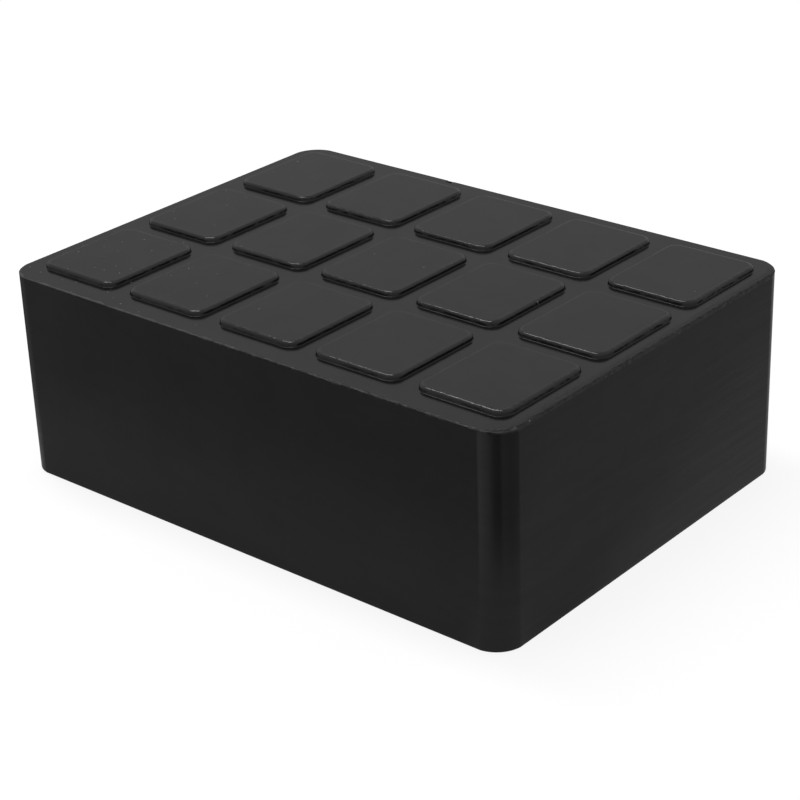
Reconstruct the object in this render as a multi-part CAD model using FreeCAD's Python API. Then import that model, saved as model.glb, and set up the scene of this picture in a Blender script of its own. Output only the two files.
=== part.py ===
"""Lift arm rubber pad: one moulded block of black rubber with raised tiles on its top.

The block is a box with rounded upright corners. Its top carries a grid of low
tiles, each a rounded rectangle whose wall spreads a little at the foot and
rolls over at the top. Channels of one width run between the tiles along each
direction, and a plain margin runs round the grid, which sits slightly off the
middle of the width. The top outer edge has a small bevel where the moulding
flash was trimmed, and the underside is flat.

Frame, in millimetres: X along the long side, Y along the short side, Z up, and
the origin at the centre of the underside.
"""

import FreeCAD, Part
import math
import os

from FreeCAD import Vector

# Block
length = 160.0
width = 118.2
block_height = 56.4
corner_radius = 7.7
trim_bevel = 0.5
base_bevel = 0.4

# Tile grid on the top face
tile_columns = 5
tile_rows = 3
end_margin = 4.7
side_margin = 6.45
column_channel = 5.4
row_channel = 5.7
# The grid sits a little off the middle of the block's width
grid_shift = 1.0

# One tile
tile_height = 1.35
tile_corner_radius = 3.5
tile_edge_round = 0.95
tile_foot_bevel = 0.2

# The rolled-over edge is made of narrow bevels, and this many stay within
# 0.03 mm of a true arc of that radius.
edge_round_bevels = 4

# Worked out from the values above
tile_length = (length - 2 * end_margin - (tile_columns - 1) * column_channel) / tile_columns
tile_width = (width - 2 * side_margin - (tile_rows - 1) * row_channel) / tile_rows
column_pitch = tile_length + column_channel
row_pitch = tile_width + row_channel


def rounded_rectangle(size_x, size_y, radius, centre):
    """Return a level closed wire: a rectangle with round corners about a centre."""
    half_x = size_x / 2
    half_y = size_y / 2
    corners = []
    for quarter, (sign_x, sign_y) in enumerate(((1, 1), (-1, 1), (-1, -1), (1, -1))):
        middle = centre + Vector(sign_x * (half_x - radius), sign_y * (half_y - radius), 0)
        points = []
        for eighth in (0, 1, 2):
            angle = math.radians(90 * quarter + 45 * eighth)
            points.append(middle + Vector(radius * math.cos(angle), radius * math.sin(angle), 0))
        corners.append(points)
    edges = []
    for here, after in zip(corners, corners[1:] + corners[:1]):
        edges.append(Part.Arc(*here).toShape())
        edges.append(Part.makeLine(here[-1], after[0]))
    return Part.Wire(edges)


def stacked_solid(sections):
    """Return the solid whose flat and conical walls join level outlines, lowest first."""
    return Part.makeLoft(sections, True, True)


def block():
    """Return the plain block: upright round corners, eased base edge, trimmed top edge."""
    sections = []
    for inset, height in (
        (base_bevel, 0),
        (0, base_bevel),
        (0, block_height - trim_bevel),
        (trim_bevel, block_height),
    ):
        sections.append(
            rounded_rectangle(
                length - 2 * inset, width - 2 * inset, corner_radius - inset, Vector(0, 0, height)
            )
        )
    return stacked_solid(sections)


def tile_section():
    """Return the tile's edge profile as pairs of inset from its wall and height above the face."""
    roll = min(tile_edge_round, 0.9 * tile_corner_radius, tile_height - tile_foot_bevel)
    profile = [(-tile_foot_bevel, 0), (0, tile_foot_bevel)]
    for step in range(edge_round_bevels + 1):
        angle = math.radians(90) * step / edge_round_bevels
        inset = roll * (1 - math.cos(angle))
        profile.append((inset, tile_height - roll * (1 - math.sin(angle))))
    return profile


def tile(column, row):
    """Return one raised tile, standing on the block's top face at its place in the grid."""
    centre_x = (column - (tile_columns - 1) / 2) * column_pitch
    centre_y = grid_shift + (row - (tile_rows - 1) / 2) * row_pitch
    sections = []
    for inset, height in tile_section():
        sections.append(
            rounded_rectangle(
                tile_length - 2 * inset,
                tile_width - 2 * inset,
                tile_corner_radius - inset,
                Vector(centre_x, centre_y, block_height + height),
            )
        )
    return stacked_solid(sections)


def rubber_block():
    """Return the whole moulding: the block with its grid of tiles."""
    tiles = [tile(column, row) for row in range(tile_rows) for column in range(tile_columns)]
    return block().fuse(tiles)


os.makedirs("parts", exist_ok=True)
moulding = rubber_block()
moulding.exportStep("parts/rubber_block.step")
print("rubber_block: valid", moulding.isValid(), "solids", len(moulding.Solids))
print("volume %.1f cm3" % (moulding.Volume / 1000))
print("tile %.2f x %.2f mm, pitch %.2f x %.2f mm" % (tile_length, tile_width, column_pitch, row_pitch))
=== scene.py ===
"""Looks of a lift arm rubber pad: one moulded block of black rubber with raised tiles on its top.

The block, its tiles and its worn rim are one closed surface, worked out on grids and rings of points.
Sizes are in millimetres in the classes below and become metres when the mesh is made. X runs along the
long side, Y along the short side, Z up, and the origin is the centre of the underside.
"""

import logging
import math
from dataclasses import dataclass
from enum import Enum
from typing import Any, Sequence

import bpy
import numpy as np
from bpy.types import ID, Material, Mesh, Node, NodeSocket, NodeTree, Object, World
from mathutils import Matrix, Vector


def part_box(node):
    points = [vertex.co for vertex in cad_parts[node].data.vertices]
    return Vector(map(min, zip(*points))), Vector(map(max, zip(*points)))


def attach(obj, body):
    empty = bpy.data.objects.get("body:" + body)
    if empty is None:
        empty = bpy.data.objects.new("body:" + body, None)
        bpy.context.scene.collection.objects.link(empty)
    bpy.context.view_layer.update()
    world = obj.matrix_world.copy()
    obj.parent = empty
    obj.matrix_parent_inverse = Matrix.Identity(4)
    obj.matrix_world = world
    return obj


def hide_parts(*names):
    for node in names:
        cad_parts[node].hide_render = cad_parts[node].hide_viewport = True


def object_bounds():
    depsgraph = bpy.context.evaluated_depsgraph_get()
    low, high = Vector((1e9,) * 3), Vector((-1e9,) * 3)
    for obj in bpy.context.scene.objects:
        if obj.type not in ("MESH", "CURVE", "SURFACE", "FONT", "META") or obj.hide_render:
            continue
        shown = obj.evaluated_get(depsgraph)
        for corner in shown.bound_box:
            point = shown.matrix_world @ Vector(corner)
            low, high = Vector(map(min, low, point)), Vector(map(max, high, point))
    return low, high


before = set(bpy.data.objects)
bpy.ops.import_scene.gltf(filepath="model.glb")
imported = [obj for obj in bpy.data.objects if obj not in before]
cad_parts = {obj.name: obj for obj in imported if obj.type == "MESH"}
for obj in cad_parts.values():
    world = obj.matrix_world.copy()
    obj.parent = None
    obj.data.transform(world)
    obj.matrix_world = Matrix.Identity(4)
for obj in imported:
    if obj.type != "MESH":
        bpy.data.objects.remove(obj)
cad_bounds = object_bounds()

MM = 0.001
NODE = "rubber_block"
WHITE = "#ffffff"
NOISE_MIDDLE = 0.5

Array = np.ndarray
Pair = tuple[float, float]
Triple = tuple[float, float, float]

log = logging.getLogger("lift_arm_pad")


def linear(code: str) -> tuple[float, float, float, float]:
    """Turns a colour written as sRGB hex into the linear values that a shader takes.

    Formula: a share c below 0.04045 is c / 12.92, and above it ((c + 0.055) / 1.055) to the power 2.4.

    Args:
        code: The colour, such as "#1a1a1a".

    Returns:
        Linear red, green and blue, and an alpha of one.
    """
    share = np.array([int(code[i:i + 2], 16) for i in (1, 3, 5)]) / 255.0
    low, high = share / 12.92, ((share + 0.055) / 1.055) ** 2.4
    red, green, blue = np.where(share <= 0.04045, low, high)
    return float(red), float(green), float(blue), 1.0


def per_size(size: float) -> float:
    """Gives the scale of a texture whose feature is size millimetres, on coordinates in metres."""
    return 1.0 / (size * MM)


def empty_tree(owner: Material | World) -> NodeTree:
    """Turns on a material's or the world's node tree, clears it and gives it back."""
    owner.use_nodes = True
    owner.node_tree.nodes.clear()
    return owner.node_tree


def add_node(tree: NodeTree, kind: str, inputs: dict[Any, Any] | Sequence[Any] = (),
             **settings: Any) -> Node:
    """Adds one node to a tree, with its settings and what feeds its sockets.

    Args:
        tree: The tree that the node joins.
        kind: The node's type in Blender less its first part, such as "Math" for "ShaderNodeMath".
        inputs: Sockets by name or number, or all from the first on, each with a plain value, another
            node's output socket, or another node that stands for its first output in use.
        settings: Properties of the node and their values.

    Returns:
        The new node.
    """
    node = tree.nodes.new("ShaderNode" + kind)
    for name, value in settings.items():
        setattr(node, name, value)
    for key, value in inputs.items() if isinstance(inputs, dict) else enumerate(inputs):
        if isinstance(value, Node):
            value = next(socket for socket in value.outputs if socket.enabled)
        if isinstance(value, NodeSocket):
            tree.links.new(value, node.inputs[key])
        else:
            node.inputs[key].default_value = value
    return node


def add_object(name: str, data: ID) -> Object:
    """Puts a new object with its mesh, lamp or camera into the scene and gives it back."""
    thing = bpy.data.objects.new(name, data)
    bpy.context.scene.collection.objects.link(thing)
    return thing


def along(knots: Sequence[Any], counts: Sequence[int]) -> Array:
    """Spreads points evenly between knots on a closed line.

    Formula: the line from knot i to knot i + 1 is cut into counts[i] equal steps by linear interpolation
    of each coordinate over the running number of steps. The last knot repeats the first and is left out.

    Args:
        knots: Places or angles, one more than there are counts.
        counts: Steps from each knot to the next.

    Returns:
        One row for each step.
    """
    values = np.asarray(knots, float)
    at = np.concatenate(([0], np.cumsum(counts)))
    index = np.arange(at[-1])
    if values.ndim == 1:
        return np.interp(index, at, values)
    return np.stack([np.interp(index, at, column) for column in values.T], axis=1)


def directions(angles: Array) -> Array:
    """Gives the unit vectors in plan that stand at the angles, in radians from +X towards +Y."""
    return np.stack([np.cos(angles), np.sin(angles)], axis=-1)


def at_height(plan: Array, height: float) -> Array:
    """Gives places in plan one height."""
    return np.column_stack([plan, np.full(len(plan), height)])


def smooth_step(values: Array, low: float, high: float) -> Array:
    """Rises from 0 at low to 1 at high: 3 t squared less 2 t cubed, with t the share of the way."""
    share = np.clip((values - low) / (high - low), 0.0, 1.0)
    return share * share * (3.0 - 2.0 * share)


def edge_fall(depth: Array, run: float | Array, fall: float, power: float = 1.0) -> Array:
    """Falls from 0 at the run's depth to all of it at the edge: fall times (1 - depth / run) to a power."""
    return fall * np.clip(1 - depth / run, 0.0, 1.0) ** power


def ring_faces(rings: int, count: int, first: int) -> Array:
    """Joins closed rings of points, each to the next, with four-sided faces.

    Formula: face j between ring r and ring r + 1 goes through points (r, j), (r + 1, j), (r + 1, j + 1)
    and (r, j + 1), with j + 1 taken round to 0 at the end. With rings counted from the middle outwards and
    points counted to the left, it faces outwards.

    Args:
        rings: Number of rings.
        count: Points on each ring.
        first: Number of the first point.

    Returns:
        Point numbers, four to a row.
    """
    ring, step = np.meshgrid(np.arange(rings - 1), np.arange(count), indexing="ij")
    ahead = (step + 1) % count
    near, far = ring * count, (ring + 1) * count
    faces = np.stack([near + step, far + step, far + ahead, near + ahead], axis=-1)
    return faces.reshape(-1, 4) + first


class Finish(Enum):
    """The mould's two skins, in the mesh's material slot order; the top's body is also painted darker as
    shade.
    """

    TOP = 0
    WALL = 1


class Trim(Enum):
    """How the flash was cut off along one side of the top rim."""

    TORN = "torn off, which left a narrow lip"
    ROUGH = "buffed off, which left a wide band"
    CLEAN = "cut clean"


class Surface:
    """Points and faces gathered from several sheets before they become one welded mesh."""

    def __init__(self) -> None:
        """Starts with no points and no faces."""
        self.points: list[Array] = []
        self.worn: list[Array] = []
        self.faces: list[Array] = []
        self.finishes: list[Array] = []
        self.count = 0

    def add_points(self, points: Array, worn: Array | None = None) -> int:
        """Adds points to the surface.

        Args:
            points: Places in millimetres, in an array whose last axis is X, Y and Z.
            worn: Shares from 0 to 1 of torn rubber, buffed rubber and rolled edge at each point, on the
                last axis, or nothing where the skin is whole and flat.

        Returns:
            The number of the first new point.
        """
        first = self.count
        flat = points.reshape(-1, 3)
        self.points.append(flat)
        self.worn.append(np.zeros(flat.shape) if worn is None else worn.reshape(-1, 3))
        self.count += len(flat)
        return first

    def add_faces(self, faces: Array, finish: Finish) -> None:
        """Adds faces, given as rows of point numbers, with one finish for all of them."""
        self.faces.append(faces)
        self.finishes.append(np.full(len(faces), finish.value))

    def weld(self, tolerance: float = 1e-4) -> int:
        """Makes points that lie in one place one point.

        Formula: places are counted in steps of the tolerance, and points with equal counts become the
        first of them.

        Args:
            tolerance: Size of a step, in millimetres.

        Returns:
            The number of edges that don't lie between exactly two faces, which is 0 on a closed surface.
        """
        points, worn = np.concatenate(self.points), np.concatenate(self.worn)
        cells = np.round(points / tolerance).astype(np.int64)
        _, kept, now = np.unique(cells, axis=0, return_index=True, return_inverse=True)
        now = now.reshape(-1)
        self.points, self.worn = [points[kept]], [worn[kept]]
        self.faces = [now[faces] for faces in self.faces]
        ends = np.concatenate([
            np.stack([faces, np.roll(faces, -1, axis=1)], axis=-1).reshape(-1, 2) for faces in self.faces])
        _, uses = np.unique(np.sort(ends, axis=1), axis=0, return_counts=True)
        return int((uses != 2).sum())

    def mesh(self, title: str) -> Mesh:
        """Puts the welded points and faces into a mesh in metres.

        Args:
            title: The mesh's name.

        Returns:
            The mesh, smooth shaded, with the point attributes "torn", "buffed" and "rolled".
        """
        points = self.points[0] * MM
        sides = np.concatenate([np.full(len(faces), faces.shape[1]) for faces in self.faces])
        corners = np.concatenate([faces.reshape(-1) for faces in self.faces])
        mesh = bpy.data.meshes.new(title)
        mesh.vertices.add(len(points))
        mesh.vertices.foreach_set("co", points.astype(np.float32).reshape(-1))
        mesh.loops.add(len(corners))
        mesh.loops.foreach_set("vertex_index", corners.astype(np.int32))
        mesh.polygons.add(len(sides))
        for name, values in (("loop_start", np.cumsum(sides) - sides), ("loop_total", sides),
                             ("material_index", np.concatenate(self.finishes))):
            mesh.polygons.foreach_set(name, values.astype(np.int32))
        mesh.polygons.foreach_set("use_smooth", np.ones(len(sides), bool))
        for name, values in zip(("torn", "buffed", "rolled"), self.worn[0].T):
            mesh.attributes.new(name, "FLOAT", "POINT").data.foreach_set("value", values.astype(np.float32))
        mesh.update(calc_edges=True)
        mesh.validate()
        return mesh


@dataclass(frozen=True)
class TileGrid:
    """The raised tiles: rounded rectangles in rows and columns on the block's top.

    Lengths are in millimetres, angles in degrees. A tile's rolled edge is fully glossy towards the glossy
    side, and has the far share of that on the side away from it.
    """

    length: float
    width: float
    floor: float
    height: float
    columns: int = 5
    rows: int = 3
    end_margin: float = 4.7
    side_margin: float = 6.45
    column_channel: float = 5.4
    row_channel: float = 5.7
    shift: Pair = (0.0, 1.0)
    corner_radius: float = 3.5
    edge_round: float = 0.8
    foot_round: float = 0.2
    draft: float = 11.0
    edge_stretch: float = 1.3
    collar: float = 0.8
    glossy_side: float = -53.0
    far_gloss: float = 0.5
    gloss_turn: float = 0.5
    first_rolled: float = 0.4
    run_x: int = 12
    run_y: int = 16
    arc: int = 12
    round_steps: int = 9
    foot_steps: int = 3
    flat_lead: float = 0.25

    @property
    def tile_half(self) -> Array:
        """Half the length and half the width of one tile, an equal share of what the block leaves."""
        across = self.length - 2 * self.end_margin - (self.columns - 1) * self.column_channel
        along_y = self.width - 2 * self.side_margin - (self.rows - 1) * self.row_channel
        return np.array([across / self.columns, along_y / self.rows]) / 2

    @property
    def core(self) -> Array:
        """Half the size of the rectangle that joins the middles of a tile's round corners."""
        return self.tile_half - self.corner_radius

    @property
    def pitch(self) -> Array:
        """Distance from one tile's middle to the next, along X and along Y."""
        return 2 * self.tile_half + [self.column_channel, self.row_channel]

    def centre(self, column: int, row: int) -> Array:
        """Gives the middle of the tile in that column and row, both counted from the low corner."""
        places = np.array([column - (self.columns - 1) / 2, row - (self.rows - 1) / 2])
        return places * self.pitch + self.shift

    def cell(self, column: int, row: int) -> tuple[Array, Array]:
        """Finds the patch of block top that belongs to one tile.

        Args:
            column: The tile's column.
            row: The tile's row.

        Returns:
            The patch's low and high corners from the tile's middle: half a channel beyond the tile, or the
            collar's width on the outside of the grid.
        """
        half_channel = np.array([self.column_channel, self.row_channel]) / 2
        place, last = np.array([column, row]), np.array([self.columns, self.rows]) - 1
        low = np.where(place == 0, self.collar, half_channel)
        high = np.where(place == last, self.collar, half_channel)
        return -self.tile_half - low, self.tile_half + high

    @property
    def counts(self) -> list[int]:
        """Steps round a tile: a straight run and the two halves of a corner, four times."""
        half = self.arc // 2
        return [self.run_y, half, half, self.run_x, half, half] * 2

    def border(self, low: Any, high: Any, start: Any, end: Any) -> Array:
        """Spreads a tile's points along a rectangle.

        Formula: the points of each straight run lie between its start and its end, and each half of a
        corner's points is spread from there to the rectangle's corner.

        Args:
            low: The rectangle's low corner.
            high: The rectangle's high corner.
            start: Where the straight runs start, along X and along Y.
            end: Where they end.

        Returns:
            One place for each point of the tile's ring.
        """
        (left, front), (right, back), (x0, y0), (x1, y1) = low, high, start, end
        return along([
            (right, y0), (right, y1), (right, back), (x1, back), (x0, back), (left, back),
            (left, y1), (left, y0), (left, front), (x0, front), (x1, front), (right, front), (right, y0),
        ], self.counts)

    def outward(self) -> Array:
        """Gives the outward direction at each point of a tile's ring, in radians from +X towards +Y."""
        degrees = (0, 0, 45, 90, 90, 135, 180, 180, 225, 270, 270, 315, 360)
        return np.radians(along(degrees, self.counts))

    def ring(self, inset: float) -> Array:
        """Gives a tile's outline, moved in by the inset.

        Formula: each point is the nearest corner or side of the core rectangle plus the corner radius less
        the inset, times the outward direction there.

        Args:
            inset: Distance in from the tile's wall.

        Returns:
            One place in plan for each point, from the tile's middle.
        """
        core = self.border(-self.core, self.core, -self.core, self.core)
        return core + (self.corner_radius - inset) * directions(self.outward())

    def profile(self) -> tuple[Array, Array]:
        """Works out how a tile's side falls from its flat top to the block.

        Formula: an arc of the edge's radius, stretched sideways, rolls over from level to the draft angle
        off upright, a straight wall falls at that angle, and an arc of the foot's radius turns it level
        again. Insets count from the wall's lower end.

        Returns:
            Rows of inset and height from the top outwards, and the share of rolled-over edge at each.
        """
        draft, radius, foot = math.radians(self.draft), self.edge_round, self.foot_round
        fall = self.height - radius * (1 - math.sin(draft)) - foot * (1 - math.sin(draft))
        across = radius * self.edge_stretch
        reach = across * math.cos(draft) + fall * math.tan(draft)
        over = np.linspace(0, math.pi / 2 - draft, self.round_steps + 1)
        edge = np.stack([reach - across * np.sin(over), self.height - radius * (1 - np.cos(over))], axis=1)
        under = np.linspace(draft, math.pi / 2, self.foot_steps + 1)
        base = np.stack([foot * (np.cos(under) - math.cos(draft)), foot * (1 - np.sin(under))], axis=1)
        lead, run_out = (reach + self.flat_lead, self.height), (base[-1, 0] - self.flat_lead, 0.0)
        rolled = np.concatenate([
            [0.0, self.first_rolled], np.ones(self.round_steps), np.zeros(self.foot_steps + 2)])
        return np.concatenate([[lead], edge, base, [run_out]]), rolled

    def build_tile(self, surface: Surface, column: int, row: int) -> None:
        """Adds one tile and its patch of the block's top to the surface.

        Formula: the flat top is an even grid of points inside the first ring; rings follow the side's
        profile out and down; the last ring is the patch's rectangle.

        Args:
            surface: The surface that grows.
            column: The tile's column.
            row: The tile's row.
        """
        middle = np.append(self.centre(column, row), self.floor)
        nx, ny = self.run_x + self.arc, self.run_y + self.arc
        cx, cy = self.core
        x, y = np.meshgrid(np.linspace(-cx, cx, nx + 1), np.linspace(-cy, cy, ny + 1), indexing="ij")
        sheet = np.stack([x, y, np.full_like(x, self.height)], axis=-1)
        first = surface.add_points(middle + sheet)
        i, j = np.meshgrid(np.arange(nx), np.arange(ny), indexing="ij")
        low = (i * (ny + 1) + j).reshape(-1)
        surface.add_faces(np.stack([low, low + ny + 1, low + ny + 2, low + 1], axis=1) + first, Finish.TOP)
        bend = self.arc // 2
        steps = self.border((0, 0), (nx, ny), (bend, bend), (nx - bend, ny - bend)).round().astype(int)
        rings = [sheet[steps[:, 0], steps[:, 1]]]
        profile, rolled = self.profile()
        rings += [at_height(self.ring(inset), height) for inset, height in profile]
        rings += [at_height(self.border(*self.cell(column, row), -self.core, self.core), 0.0)]
        stack = middle + np.stack(rings)
        worn = np.zeros(stack.shape)
        facing = np.cos(self.outward() - math.radians(self.glossy_side))
        turned = smooth_step(facing, -self.gloss_turn, self.gloss_turn)
        handled = self.far_gloss + (1.0 - self.far_gloss) * turned
        worn[1:-1, :, 2] = rolled[:, None] * handled
        first = surface.add_points(stack, worn)
        surface.add_faces(ring_faces(len(stack), stack.shape[1], first), Finish.TOP)

    def side_places(self, axis: int) -> Array:
        """Lists where the points of the whole grid's edge stand along one axis.

        Args:
            axis: 0 for X and 1 for Y.

        Returns:
            Coordinates from low to high, as the patches' own borders have them.
        """
        number = (self.columns, self.rows)[axis]
        run = (self.run_x, self.run_y)[axis]
        half = self.arc // 2
        core = self.core[axis]
        places = []
        for k in range(number):
            low, high = (corner[axis] for corner in self.cell(k, k))
            steps = along([low, -core, core, high], [half, run, half])
            places.append(steps + self.centre(k, k)[axis])
            end = high + self.centre(k, k)[axis]
        return np.append(np.concatenate(places), end)

    def build(self, surface: Surface) -> None:
        """Adds every tile to the surface."""
        for column in range(self.columns):
            for row in range(self.rows):
                self.build_tile(surface, column, row)


@dataclass(frozen=True)
class BlockOutline:
    """The block's outline in plan: straight sides and round corners that meet them at a slight angle."""

    length: float
    width: float
    corner_radius: float = 7.89
    crease: float = 0.14

    def ring(self, inset: float, counts: Sequence[int]) -> tuple[Array, Array]:
        """Gives the outline, moved in by the inset.

        Formula: with radius R and crease angle g, a corner's centre lies R cos g in from both sides. At
        inset i its arc has radius R - i and starts where it meets the side's line, at the angle whose
        cosine is (R cos g - i) / (R - i). Between arcs the points are spread evenly.

        Args:
            inset: Distance in from the outline.
            counts: Steps on side, corner, side, corner and so on, from the +X side to the left.

        Returns:
            Places in plan, and the outward angle at each.
        """
        radius = self.corner_radius - inset
        reach = self.corner_radius * math.cos(self.crease)
        start = math.acos(min(1.0, (reach - inset) / radius))
        cx, cy = self.length / 2 - reach, self.width / 2 - reach
        quarter = math.pi / 2
        middles = np.array([(cx, -cy), (cx, cy), (-cx, cy), (-cx, -cy), (cx, -cy)])
        points, angles = [], []
        for q, (low, high) in enumerate(zip(middles, middles[1:])):
            side, share = q * quarter, np.arange(counts[2 * q])[:, None] / counts[2 * q]
            begin = low + radius * directions(np.array(side - start))
            end = high + radius * directions(np.array(side + start))
            points.append(begin + share * (end - begin))
            angles.append(np.full(len(share), side))
            turn = side + np.linspace(start, quarter - start, counts[2 * q + 1], endpoint=False)
            points.append(high + radius * directions(turn))
            angles.append(turn)
        return np.concatenate(points), np.concatenate(angles)


@dataclass(frozen=True)
class TornLip:
    """The narrow lip left where the flash was torn off. Lengths are in millimetres, the reach in radians.

    Its width and its jutting out vary with the rim's blobs and waves, and it grows from calm to ragged
    over a run of X. It also goes round the corner that stands at the given degrees.
    """

    width: float = 0.50
    width_blobs: float = 0.24
    width_waves: float = 0.14
    width_limits: Pair = (0.15, 1.1)
    softness: float = 0.12
    fall: float = 0.04
    up: float = 0.105
    out: float = 0.18
    out_blobs: float = 0.09
    calm: float = 0.25
    ragged_run: Pair = (-40.0, 40.0)
    corner: float = -48.0
    corner_reach: Pair = (0.8, 0.35)


@dataclass(frozen=True)
class BuffedBand:
    """The wide band where the flash was buffed off, with a fine line along its inner edge, in millimetres.

    It falls over a wide slope and a narrow roll, each given as run and fall, the roll also with its power.
    """

    width: float = 2.15
    width_blobs: float = 0.12
    full_width: float = 1.75
    slope: Pair = (2.1, 0.05)
    roll: Triple = (0.5, 0.30, 1.5)
    line_half: float = 0.12
    line_fall: float = 0.035
    up: float = 0.045
    out: float = 0.10


@dataclass(frozen=True)
class Nick:
    """A smooth pit just inside the back rim, in millimetres, with the share of it that is flat."""

    place: float = -27.9
    half_length: float = 1.05
    inset: float = 0.8
    half_width: float = 0.75
    depth: float = 0.9
    flat: float = 0.6


@dataclass(frozen=True)
class RubberBlock:
    """The block under the tiles, from the grid's edge over the rim and walls to the underside.

    Lengths are in millimetres. The rim's rings are runs of insets, each with its first, its last and its
    number. The rows at the top of the wall are drops from the rim, with the shares of its torn and buffed
    rubber that they keep.
    """

    outline: BlockOutline
    tiles: TileGrid
    height: float
    base_round: float = 0.4
    base_points: int = 5
    foot_inset: float = 1.2
    rim_rings: tuple[tuple[float, float, int], ...] = ((2.6, 0.8, 9), (0.66, 0.0, 8))
    noise_sizes: Triple = (0.7, 2.3, 9.0)
    wall_rows: tuple[Triple, ...] = (
        (0.0, 1.0, 1.0), (0.12, 0.45, 0.85), (0.45, 0.0, 0.6), (0.85, 0.0, 0.3))
    wall_drops: tuple[float, ...] = (1.8, 2.4)
    wall_heights: tuple[float, ...] = (44.0, 32.0, 20.0, 8.0, 1.2)
    fine: int = 4
    corner_steps: tuple[int, int] = (5, 3)
    seed: int = 11
    sides: tuple[Trim, Trim, Trim, Trim] = (Trim.ROUGH, Trim.CLEAN, Trim.CLEAN, Trim.TORN)
    torn: TornLip = TornLip()
    buffed: BuffedBand = BuffedBand()
    clean_edge: Pair = (0.2, 0.18)
    nick: Nick = Nick()

    def coarse_ring(self) -> Array:
        """Lines up the points on the edge of the tile grid.

        Returns:
            Places in plan, from the straight part of the +X side to the left.
        """
        x, y = self.tiles.side_places(0), self.tiles.side_places(1)
        sides = (x[-1], y[:-1]), (x[:0:-1], y[-1]), (x[0], y[:0:-1]), (x[:-1], y[0])
        ring = np.concatenate([np.stack(np.broadcast_arrays(*side), axis=1) for side in sides])
        return np.roll(ring, -self.corner_steps[1], axis=0)

    def counts(self) -> list[int]:
        """Counts the steps of the fine rings.

        Returns:
            Steps on side, corner, side, corner and so on, from the +X side to the left.
        """
        bend_x, bend_y = self.corner_steps
        long_run = (len(self.tiles.side_places(0)) - 1 - 2 * bend_x) * self.fine
        short_run = (len(self.tiles.side_places(1)) - 1 - 2 * bend_y) * self.fine
        corner = (bend_x + bend_y) * self.fine
        return [short_run, corner, long_run, corner] * 2

    def side_shares(self, angles: Array) -> Array:
        """Says how far each point belongs to each side: the square of a positive cosine, 1 in all."""
        sides = np.arange(4)[:, None] * math.pi / 2
        return np.maximum(np.cos(angles - sides), 0.0) ** 2

    def ragged(self, rng: np.random.Generator, rows: int, stations: Array, size: float) -> Array:
        """Makes uneven bands round the rim.

        Formula: random values stand one size apart on the closed rim, and each point takes the value
        between its neighbours by linear interpolation.

        Args:
            rng: Source of the values.
            rows: Number of bands.
            stations: Distance of each point round the rim.
            size: Distance between values.

        Returns:
            Values of mean 0 and deviation 1, a row for each band.
        """
        total = stations[-1] + stations[1]
        number = int(round(total / size))
        knots = rng.standard_normal((rows, number))
        knots = np.concatenate([knots, knots[:, :1]], axis=1)
        at = np.linspace(0, total, number + 1)
        return np.stack([np.interp(stations, at, row) for row in knots])

    def rim(self) -> tuple[Array, Array]:
        """Works out the rim between the tile grid and the walls.

        Formula: rings stand at falling insets. Each trim gives a fall over the inset, raised by uneven
        bands of noise where the rubber is torn or buffed, and the sides' shares blend the falls round the
        corners. The torn corner counts as torn as well. The nick is a product of two smooth steps.

        Returns:
            Points as ring, station and XYZ, and the shares of worn skin in the same order.
        """
        torn, buffed, nick, counts = self.torn, self.buffed, self.nick, self.counts()
        inset = np.concatenate([np.linspace(*run) for run in self.rim_rings])
        plan, angles = map(np.stack, zip(*(self.outline.ring(value, counts) for value in inset)))
        (x, y), depth = plan[-1].T, inset[:, None]
        step = np.linalg.norm(np.diff(plan[-1], axis=0), axis=1)
        stations = np.concatenate([[0.0], np.cumsum(step)])
        rng = np.random.default_rng(self.seed)
        fine, blobs, waves = (self.ragged(rng, rows, stations, size)
                              for rows, size in zip((len(inset), 1, 1), self.noise_sizes))
        shares = self.side_shares(angles[-1])
        torn_side, rough_side, clean_side = (
            shares[[trim is kind for trim in self.sides]].sum(axis=0) for kind in Trim)
        facing = np.cos(angles[-1] - math.radians(torn.corner))
        torn_side = np.maximum(torn_side, smooth_step(facing, *map(math.cos, torn.corner_reach)))
        width = np.clip(torn.width + torn.width_blobs * blobs + torn.width_waves * waves, *torn.width_limits)
        lip = torn_side * smooth_step(-depth, -width - torn.softness, -width + torn.softness)
        start = -buffed.width - buffed.width_blobs * blobs
        band = rough_side * smooth_step(-depth, start, -buffed.full_width)
        line = np.exp(-((depth - buffed.width) / buffed.line_half) ** 2) * rough_side * buffed.line_fall
        rough_fall = edge_fall(depth, *buffed.slope) + edge_fall(depth, *buffed.roll)
        fall = torn_side * edge_fall(depth, width, torn.fall) + rough_side * rough_fall
        fall = fall + clean_side * edge_fall(depth, *self.clean_edge) + line
        bite = nick.depth * (y > 0) * clean_side
        for away, reach in ((x - nick.place, nick.half_length), (depth - nick.inset, nick.half_width)):
            bite = bite * smooth_step(-np.abs(away), -reach, -nick.flat * reach)
        noisy = lip * (torn.calm + (1.0 - torn.calm) * smooth_step(x, *torn.ragged_run))
        height = self.height - (fall + bite) + fine * (torn.up * noisy + buffed.up * band)
        out = (torn.out * fine + torn.out_blobs * blobs) * noisy
        out = out + buffed.out * fine * band * (depth < buffed.roll[0])
        plan = plan + out[..., None] * directions(angles)
        worn = np.stack([lip, band, np.zeros_like(lip)], axis=-1)
        return np.concatenate([plan, height[..., None]], axis=-1), worn

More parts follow.
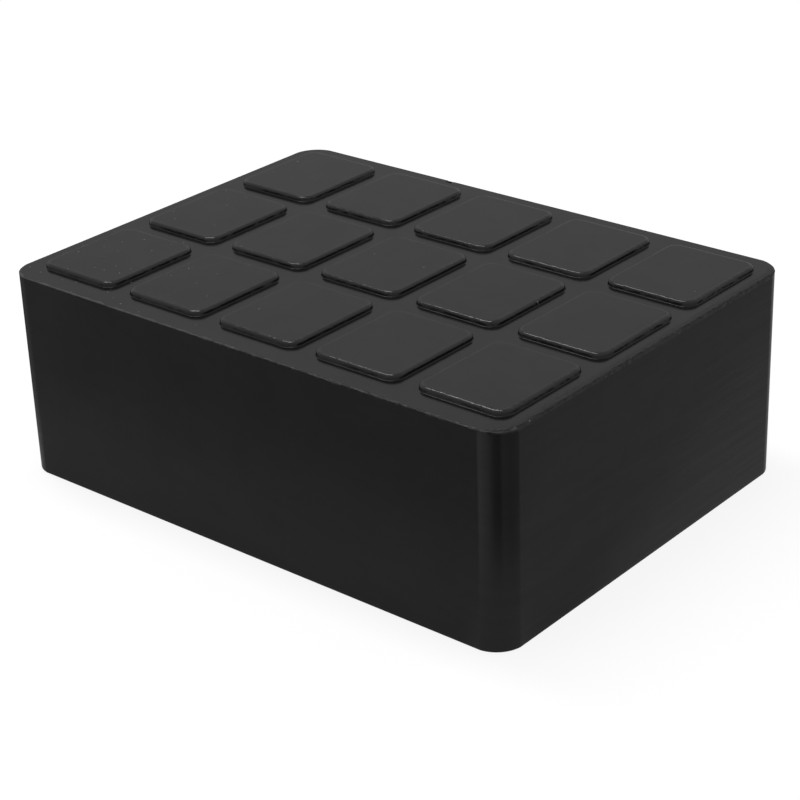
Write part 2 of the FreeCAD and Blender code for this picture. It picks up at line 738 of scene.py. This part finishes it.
    def build(self, surface: Surface) -> None:
        """Adds the block's margin, rim, walls and underside to the surface.

        Formula: a fan of fine steps hangs on each step of the grid's edge and begins the rim. Rings of the
        outline go down the wall and round the base. The first rows of the wall keep the rim's torn plan,
        and triangles to the middle close the underside.

        Args:
            surface: The surface that grows.
        """
        coarse = self.coarse_ring()
        edge = surface.add_points(at_height(coarse, self.height))
        points, worn = self.rim()
        first = surface.add_points(points, worn)
        number = points.shape[1]
        step = np.arange(len(coarse))
        fan = [edge + step]
        fan += [first + (step * self.fine + k) % number for k in range(self.fine + 1)]
        fan += [edge + (step + 1) % len(coarse)]
        surface.add_faces(np.stack(fan, axis=1), Finish.TOP)
        surface.add_faces(ring_faces(len(points), number, first), Finish.TOP)
        upright = [self.height - drop for drop in self.wall_drops] + list(self.wall_heights)
        turned = np.linspace(0, math.pi / 2, self.base_points)
        heights = upright + list(self.base_round * (1 - np.sin(turned))) + [0.0]
        insets = [0.0] * len(upright) + list(self.base_round * (1 - np.cos(turned))) + [self.foot_inset]
        counts = self.counts()
        wall = np.stack([at_height(self.outline.ring(inset, counts)[0], height)
                         for inset, height in zip(insets, heights)])
        rows = np.array(self.wall_rows)
        upper = points[-1] - rows[:, :1, None] * [0.0, 0.0, 1.0]
        upper[rows[:, 1] == 0.0, :, :2] = wall[0, :, :2]
        below = np.concatenate([upper, wall])
        share = np.zeros(below.shape)
        share[:len(rows), :, :2] = worn[-1, :, :2] * rows[:, None, 1:]
        first_wall = surface.add_points(below, share)
        surface.add_faces(ring_faces(len(below), number, first_wall), Finish.WALL)
        pole = surface.add_points(np.zeros((1, 3)))
        last = first_wall + (len(below) - 1) * number
        step = np.arange(number)
        surface.add_faces(np.stack([last + step, np.full(number, pole), last + (step + 1) % number], axis=1),
                          Finish.WALL)


@dataclass(frozen=True)
class MouldedRubber:
    """Natural rubber filled with carbon black, moulded in a polished steel mould.

    Wax that rises to the skin leaves it semi-gloss: a weak clear reflection over a nearly black body.
    Where the flash was torn or buffed off, the skin is gone and the rubber is matt and greyer.

    Lengths are in millimetres. Each noise is its size, its octaves and the share that each octave keeps. A
    streak has a length and a slope, a speck a cell and a radius. Dust is rare up to the first distance
    towards the dusty side and common from the second.
    """

    name: str
    # Default body and mottle are the top's, painted darker than the walls' as shade against the key lamp.
    body: str = "#101010"
    mottle: str = "#141414"
    torn: str = "#3e3e3e"
    buffed: str = "#252525"
    dust: str = "#777777"
    body_roughness: float = 0.6
    gloss: float = 0.335
    gloss_roughness: float = 0.17
    gloss_ior: float = 1.5
    edge_gloss: float = 0.45
    worn_gloss: float = 0.17
    streak_gloss: float = 0.0
    dust_share: float = 0.0
    torn_softness: float = 0.16
    buffed_softness: float = 0.34
    mottle_noise: Triple = (9.0, 3.0, 0.5)
    mottle_range: Pair = (0.35, 0.65)
    crumb_noise: Triple = (0.7, 2.0, 0.6)
    grain_noise: Triple = (0.8, 2.0, 0.5)
    grain_depth: float = 0.010
    dent_noise: Triple = (2.4, 3.0, 0.6)
    dent_depth: float = 0.19
    streak_noise: Triple = (0.9, 2.0, 0.6)
    streak_range: Pair = (0.3, 0.7)
    streak: Pair = (30.0, 0.16)
    speck: Pair = (4.0, 0.24)
    speck_core: float = 0.3
    dusty_side: Triple = (-0.8, -0.6, 0.0)
    dusty: Pair = (40.0, 80.0)
    dust_limits: Pair = (0.975, 0.45)

    def streaks(self, tree: NodeTree, place: NodeSocket, gloss: Node) -> Node:
        """Varies the gloss in fine streaks, as a worn mould leaves them along the walls.

        Formula: noise drawn out along the walls, on the height plus a share of X, so that the streaks lie
        level on the end walls and slope on the long ones. It changes the gloss by its own share.

        Args:
            tree: The material's node tree.
            place: The coordinates.
            gloss: The even gloss.

        Returns:
            The streaked gloss.
        """
        (size, octaves, keep), (length, slope) = self.streak_noise, self.streak
        height = add_node(tree, "VectorMath", (place, (slope, 0.0, 1.0)), operation="DOT_PRODUCT")
        flat = add_node(tree, "VectorMath", (place, (size / length, size / length, 0.0)),
                        operation="MULTIPLY")
        drawn = add_node(tree, "CombineXYZ", {2: height})
        both = add_node(tree, "VectorMath", (flat, drawn), operation="ADD")
        lines = add_node(tree, "TexNoise", {
            "Vector": both, "Scale": per_size(size), "Detail": octaves, "Roughness": keep})
        share = add_node(tree, "MapRange", (
            lines, *self.streak_range, 1.0 - self.streak_gloss, 1.0 + self.streak_gloss), clamp=False)
        return add_node(tree, "Math", (gloss, share), operation="MULTIPLY")

    def specks(self, tree: NodeTree, place: NodeSocket) -> Node:
        """Scatters specks of dust over a level face.

        Formula: one random point to a cell in plan, and a speck round it that fades out at its radius.
        The cell's random colour says whether there is a speck, which is more likely towards the dusty
        side, and how faint it is.

        Args:
            tree: The material's node tree.
            place: The coordinates.

        Returns:
            The share of dust.
        """
        cell, radius = self.speck
        points = add_node(tree, "TexVoronoi", {"Vector": place, "Scale": per_size(cell)},
                          voronoi_dimensions="2D")
        edge = radius / cell
        near = add_node(tree, "MapRange", (points, self.speck_core * edge, edge, self.dust_share, 0.0))
        chance = add_node(tree, "SeparateColor", (points.outputs["Color"],)).outputs
        towards = add_node(tree, "VectorMath", (place, self.dusty_side), operation="DOT_PRODUCT")
        (start, end), (rare, common) = self.dusty, self.dust_limits
        least = add_node(tree, "MapRange", (towards, start * MM, end * MM, rare, common))
        strong = add_node(tree, "Math", (chance[0], least), operation="GREATER_THAN")
        faint = add_node(tree, "Math", (near, chance[1]), operation="MULTIPLY")
        return add_node(tree, "Math", (faint, strong), operation="MULTIPLY")

    def material(self) -> Material:
        """Builds the material: black body, waxy gloss, and bare rubber where the rim was trimmed."""
        material = bpy.data.materials.new(self.name)
        tree = empty_tree(material)
        place = add_node(tree, "TexCoord").outputs["Object"]
        noises = self.mottle_noise, self.crumb_noise, self.grain_noise, self.dent_noise
        cloud, crumbs, grain, dents = (
            add_node(tree, "TexNoise", {
                "Vector": place, "Scale": per_size(size), "Detail": octaves, "Roughness": keep})
            for size, octaves, keep in noises)
        cloudy = add_node(tree, "MapRange", (cloud, *self.mottle_range))
        shares = []
        for name, soft in (("torn", self.torn_softness), ("buffed", self.buffed_softness)):
            share = add_node(tree, "Attribute", attribute_name=name).outputs["Fac"]
            uneven = add_node(tree, "Math", (share, crumbs), operation="ADD")
            shares.append(add_node(tree, "MapRange", (uneven, 1.0 - soft / 2, 1.0 + soft / 2)))
        shade = linear(self.body)
        for share, colour in ((cloudy, self.mottle), (shares[1], self.buffed), (shares[0], self.torn),
                              (self.specks(tree, place), self.dust)):
            shade = add_node(tree, "Mix", {
                "Factor": share, "A": shade, "B": linear(colour)}, data_type="RGBA")
        worn = add_node(tree, "Math", shares, operation="MAXIMUM")
        rolled = add_node(tree, "Attribute", attribute_name="rolled").outputs["Fac"]
        skin = add_node(tree, "MapRange", (rolled, 0.0, 1.0, self.gloss, self.edge_gloss))
        gloss = add_node(tree, "Mix", {
            "Factor": worn, "A": self.streaks(tree, place, skin), "B": self.worn_gloss})
        level = add_node(tree, "Math", (dents, NOISE_MIDDLE), operation="SUBTRACT")
        deep = add_node(tree, "Math", (level, rolled), operation="MULTIPLY")
        height = add_node(tree, "Math", (deep, self.dent_depth / self.grain_depth, grain),
                          operation="MULTIPLY_ADD")
        relief = add_node(tree, "Bump", {
            "Height": height, "Strength": 1.0, "Distance": self.grain_depth * MM})
        shader = add_node(tree, "BsdfPrincipled", {
            "Base Color": shade, "Roughness": self.body_roughness, "Specular IOR Level": 0.0,
            "Coat Weight": gloss, "Coat Roughness": self.gloss_roughness, "Coat IOR": self.gloss_ior,
            "Normal": relief, "Coat Normal": relief})
        add_node(tree, "OutputMaterial", (shader,))
        return material


@dataclass(frozen=True)
class LiftPad:
    """The whole moulding: tiles and block in one closed surface, with its two finishes."""

    tile_height: float = 1.35
    name: str = "moulded_block"
    # The top's darker body is painted shade that offsets the key lamp's light; the walls keep the lighter
    # body.
    top: MouldedRubber = MouldedRubber("moulded_rubber_waxy_top_painted_shade", dust_share=0.8)
    walls: MouldedRubber = MouldedRubber(
        "moulded_rubber_dull_walls", body="#141414", mottle="#161616", gloss=0.21, gloss_roughness=0.14,
        grain_depth=0.003, streak_gloss=0.08)

    def build(self) -> None:
        """Builds the moulding in the place of its CAD node."""
        low, high = (np.array(corner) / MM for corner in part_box(NODE))
        length, width, overall = high - low
        height = overall - self.tile_height
        tiles = TileGrid(length=length, width=width, floor=height, height=self.tile_height)
        block = RubberBlock(outline=BlockOutline(length, width), tiles=tiles, height=height)
        surface = Surface()
        tiles.build(surface)
        log.info("tiles: %d x %d of %.2f x %.2f x %.2f mm", tiles.columns, tiles.rows,
                 *(2 * tiles.tile_half), tiles.height)
        block.build(surface)
        log.info("block: %.1f x %.1f x %.1f mm", length, width, height)
        open_edges = surface.weld()
        mesh = surface.mesh(self.name)
        for finish in (self.top, self.walls):
            mesh.materials.append(finish.material())
        moulding = add_object(self.name, mesh)
        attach(moulding, "root")
        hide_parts(NODE)
        log.info("%s: %d points, %d faces, %d open edges", self.name, len(mesh.vertices),
                 len(mesh.polygons), open_edges)


@dataclass(frozen=True)
class Studio:
    """White sweep and soft light around the pad. Lengths are in metres.

    The tables are a painted reflection: how bright the floor glows where the walls mirror it, as degrees
    from
    -Y towards +X, and brightness. Seen from the front corner, the near table holds beside the pad and the
    front one further off. The left table, seen from the left corner, dims both.
    """

    floor_half: float = 5.0
    floor_colour: str = "#fdfdfd"
    white_share: float = 0.85
    daylight: float = 0.78
    backdrop: tuple[Pair, Pair] = ((0.34, 0.904), (0.46, 1.12))
    corner: float = 0.0077
    near: Pair = (0.012, 0.066)
    table_top: float = 2.0
    front_table: tuple[Pair, ...] = (
        (-180, 1.4), (-150, 1.2), (-120, 0.8), (-90, 0.60), (-24, 0.62), (-10, 1.8), (2, 1.5), (20, 1.05),
        (29, 0.58), (38, 0.22), (54, 0.05), (64, 0.58), (90, 0.42), (122, 0.48), (145, 0.86), (160, 0.86),
        (170, 1.2), (180, 1.4))
    near_table: tuple[Pair, ...] = (
        (-180, 1.4), (-150, 1.2), (-90, 1.0), (-32, 0.95), (-10, 1.35), (80, 1.3), (125, 0.95), (145, 0.86),
        (160, 0.86), (170, 1.2), (180, 1.4))
    left_table: tuple[Pair, ...] = (
        (-180, 0.9), (-155, 0.85), (-132, 0.15), (-114, 0.2), (-98, 0.6), (-84, 1.0), (-58, 1.3), (-46, 1.3),
        (-38, 1.1), (0, 1.0), (180, 1.0))

    def by_ray(self, tree: NodeTree, lit: Node, seen: Node, mirrored: Node, share: float) -> Node:
        """Gives each kind of ray its own shader.

        Args:
            tree: The shaders' tree.
            lit: What lights the pad.
            seen: What the camera sees.
            mirrored: What gloss mirrors.
            share: How far the camera sees its own shader, and not the first.

        Returns:
            The whole shader.
        """
        rays = add_node(tree, "LightPath").outputs
        camera = add_node(tree, "Math", (rays["Is Camera Ray"], share), operation="MULTIPLY")
        clear = add_node(tree, "Math", (camera, rays["Is Transmission Ray"]), operation="MAXIMUM")
        plain = add_node(tree, "MixShader", (clear, lit, seen))
        return add_node(tree, "MixShader", (rays["Is Glossy Ray"], plain, mirrored))

    def build_world(self) -> None:
        """Lights the scene evenly from all round, with a white background to look at.

        Formula: gloss mirrors a backdrop that grows brighter in proportion to the height of the ray
        between the two heights given.
        """
        world = bpy.data.worlds.new("white_room")
        bpy.context.scene.world = world
        tree = empty_tree(world)
        place = add_node(tree, "TexCoord").outputs["Generated"]
        height = add_node(tree, "SeparateXYZ", (place,)).outputs[2]
        (low, dim), (high, bright) = self.backdrop
        rising = add_node(tree, "MapRange", (height, low, high, dim, bright))
        lit, seen, mirrored = (add_node(tree, "Background", (linear(WHITE), strength))
                               for strength in (self.daylight, 1.0, rising))
        add_node(tree, "OutputWorld", (self.by_ray(tree, lit, seen, mirrored, 1.0),))
        log.info("world: daylight of %.2f", self.daylight)

    def painted_reflection_levels(self, tree: NodeTree) -> Node:
        """Paints the floor's reflection: its glow as gloss mirrors it, white near the pad, dimmer further
        out.

        Formula: each table gives a brightness for the direction from its corner of the pad. A smooth step
        over the distance from the pad leads from the near table to the front one, and both are multiplied
        by the left one.

        Args:
            tree: The floor's node tree.

        Returns:
            The brightness.
        """
        place = add_node(tree, "TexCoord").outputs["Object"]
        low, high = cad_bounds
        away = add_node(tree, "VectorMath", (place,), operation="ABSOLUTE")
        beyond = add_node(tree, "VectorMath", (away, (high[0], high[1], 0.0)), operation="SUBTRACT")
        outside = add_node(tree, "VectorMath", (beyond, (0.0, 0.0, 0.0)), operation="MAXIMUM")
        distance = add_node(tree, "VectorMath", (outside,), operation="LENGTH")
        ramps = []
        for side, table in ((1.0, self.front_table), (1.0, self.near_table), (-1.0, self.left_table)):
            corner = (side * (high[0] - self.corner), low[1] + self.corner, 0.0)
            turn = add_node(tree, "VectorMath", (place, corner), operation="SUBTRACT")
            parts = add_node(tree, "SeparateXYZ", (turn,)).outputs
            ahead = add_node(tree, "Math", (parts[1], -1.0), operation="MULTIPLY")
            angle = add_node(tree, "Math", (parts[0], ahead), operation="ARCTAN2")
            share = add_node(tree, "MapRange", (angle, -math.pi, math.pi))
            ramps.append(add_node(tree, "ValToRGB", (share,)))
            stops = ramps[-1].color_ramp.elements
            for number, (degrees, value) in enumerate(table):
                at = (degrees + 180.0) / 360.0
                # A new ramp has two stops already
                stop = stops[number] if number < 2 else stops.new(at)
                stop.position = at
                stop.color = (value / self.table_top,) * 3 + (1.0,)
        levels = []
        for ramp in ramps[:2]:
            dimmed = add_node(tree, "Math", (ramp, ramps[2]), operation="MULTIPLY")
            levels.append(add_node(tree, "Math", (dimmed, self.table_top ** 2), operation="MULTIPLY"))
        close = add_node(tree, "MapRange", (distance, *self.near, 1.0, 0.0), interpolation_type="SMOOTHSTEP")
        return add_node(tree, "Mix", {"Factor": close, "A": levels[0], "B": levels[1]})

    def build_floor(self) -> None:
        """Lays the white floor, which keeps the pad's shadow."""
        h = self.floor_half
        mesh = bpy.data.meshes.new("floor")
        mesh.from_pydata([(-h, -h, 0), (h, -h, 0), (h, h, 0), (-h, h, 0)], [], [(0, 1, 2, 3)])
        material = bpy.data.materials.new("matt_white_sweep")
        tree = empty_tree(material)
        paper = add_node(tree, "BsdfDiffuse", (linear(self.floor_colour),))
        # What gloss mirrors off the floor is a painted reflection, a glow of the tables' brightness that no
        # lamp gives.
        white, mirrored = (add_node(tree, "Emission", (linear(WHITE), strength))
                           for strength in (1.0, self.painted_reflection_levels(tree)))
        add_node(tree, "OutputMaterial", (self.by_ray(tree, paper, white, mirrored, self.white_share),))
        mesh.materials.append(material)
        floor = add_object("floor", mesh)
        log.info("floor: %.0f m across", 2 * h)


@dataclass(frozen=True)
class SoftLamp:
    """A rectangular soft box. Lengths are in metres."""

    name: str
    place: Triple
    size: Pair
    radiance: float
    target: Triple = (0.0, 0.0, 0.04)

    def build(self) -> None:
        """Hangs the lamp, turned to its target.

        Formula: a flat lamp of area A and radiance L gives off pi A L watts.
        """
        light = bpy.data.lights.new(self.name, "AREA")
        light.shape = "RECTANGLE"
        light.size, light.size_y = self.size
        light.energy = math.pi * self.size[0] * self.size[1] * self.radiance
        lamp = add_object(self.name, light)
        turn = (Vector(self.target) - Vector(self.place)).to_track_quat("-Z", "Y").to_matrix().to_4x4()
        lamp.matrix_world = Matrix.Translation(self.place) @ turn
        lamp.visible_camera = False
        log.info("lamp %s: %.2f W", self.name, light.energy)


@dataclass(frozen=True)
class StudioCamera:
    """The photograph's view. Angles are in degrees, lengths in millimetres, the clips in metres."""

    azimuth: float = 40.751
    elevation: float = 25.845
    roll: float = -2.084
    distance: float = 581.54
    target: Triple = (-4.281, 6.303, 15.626)
    lens: float = 98.478
    sensor: float = 36.0
    clips: Pair = (0.01, 50.0)

    def build(self) -> None:
        """Sets the camera up and makes it the scene's.

        Formula: the view's back direction stands at the azimuth from -Y towards +X and at the elevation;
        right is level and at right angles to it, and both right and up turn by the roll.
        """
        a, e, r = (math.radians(value) for value in (self.azimuth, self.elevation, self.roll))
        back = Vector((math.sin(a) * math.cos(e), -math.cos(a) * math.cos(e), math.sin(e)))
        level = Vector((math.cos(a), math.sin(a), 0.0))
        upright = back.cross(level)
        right = math.cos(r) * level + math.sin(r) * upright
        up = math.cos(r) * upright - math.sin(r) * level
        data = bpy.data.cameras.new("camera")
        data.lens, data.sensor_width = self.lens, self.sensor
        data.clip_start, data.clip_end = self.clips
        camera = add_object("camera", data)
        place = (Vector(self.target) + self.distance * back) * MM
        turn = Matrix((right, up, back)).transposed().to_4x4()
        camera.matrix_world = Matrix.Translation(place) @ turn
        bpy.context.scene.camera = camera


def main() -> None:
    """Builds the studio, the camera and the pad."""
    logging.basicConfig(level=logging.INFO, format="%(message)s")
    bpy.context.scene.view_settings.view_transform = "Standard"
    StudioCamera().build()
    studio = Studio()
    studio.build_world()
    studio.build_floor()
    SoftLamp("key", place=(-0.18, 0.0, 0.67), size=(0.12, 0.44), radiance=15.5).build()
    LiftPad().build()


if __name__ == "__main__":
    main()
